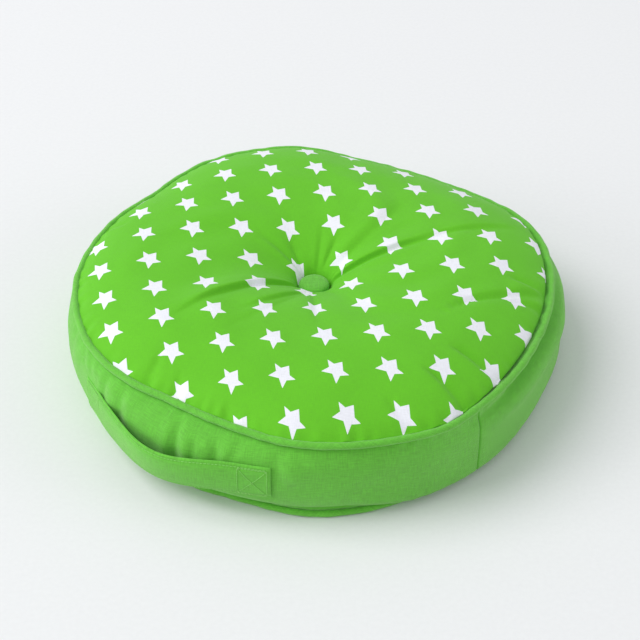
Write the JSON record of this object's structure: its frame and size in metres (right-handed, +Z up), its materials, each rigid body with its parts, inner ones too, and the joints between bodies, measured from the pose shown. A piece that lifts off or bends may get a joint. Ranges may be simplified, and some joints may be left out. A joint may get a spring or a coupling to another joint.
{
  "type": "floor cushion",
  "caption": "Round boxed floor cushion, printed cotton top, piped seams, a covered button tufting it through the middle and a sewn strap handle on its side.",
  "frame": {"origin": "on the cushion's axis, in the plane it stands on", "axes": "+Z up along the cushion's axis; -Y towards the side seen first, with the strap handle between -Y and -X"},
  "size_m": [0.4998, 0.5001, 0.1163],
  "materials": {
    "star_cotton": "matt printed cotton, green with pale stars in rows",
    "plain_canvas": "matt plain-weave canvas, green",
    "casing_fabric": "matt unbleached lining cotton",
    "fibre": "loose white polyester fibre",
    "cord_cotton": "twisted cotton cord",
    "twine_cotton": "waxed tufting twine",
    "stitch_thread": "pale green sewing thread",
    "button_metal": "pressed and zinc plated steel"
  },
  "bodies": {
    "cushion": {"star_top_panel": "star_cotton", "plain_bottom_panel": "plain_canvas", "boxing_front": "plain_canvas", "boxing_back": "plain_canvas", "top_piping_cover": "plain_canvas", "bottom_piping_cover": "plain_canvas", "top_button_cloth": "plain_canvas", "bottom_button_cloth": "plain_canvas", "handle_left_end": "plain_canvas", "handle_right_end": "plain_canvas", "top_piping_cord": "cord_cotton", "bottom_piping_cord": "cord_cotton", "inner_casing_top": "casing_fabric", "inner_casing_bottom": "casing_fabric", "inner_casing_band": "casing_fabric", "fibre_filling": "fibre", "top_button_shell": "button_metal", "top_button_back": "button_metal", "top_button_eye": "button_metal", "bottom_button_shell": "button_metal", "bottom_button_back": "button_metal", "bottom_button_eye": "button_metal", "tufting_twine": "twine_cotton", "handle_left_stitching": "stitch_thread", "handle_right_stitching": "stitch_thread"},
    "handle": {"handle_grip": "plain_canvas"}
  },
  "joints": [
    {"name": "handle_swing", "type": "hinge", "parent": "cushion", "child": "handle", "pos_m": [-0.14389, -0.20936, 0.048], "axis": [-0.8241, 0.5664, 0], "range_deg": [0, 20]}
  ]
}
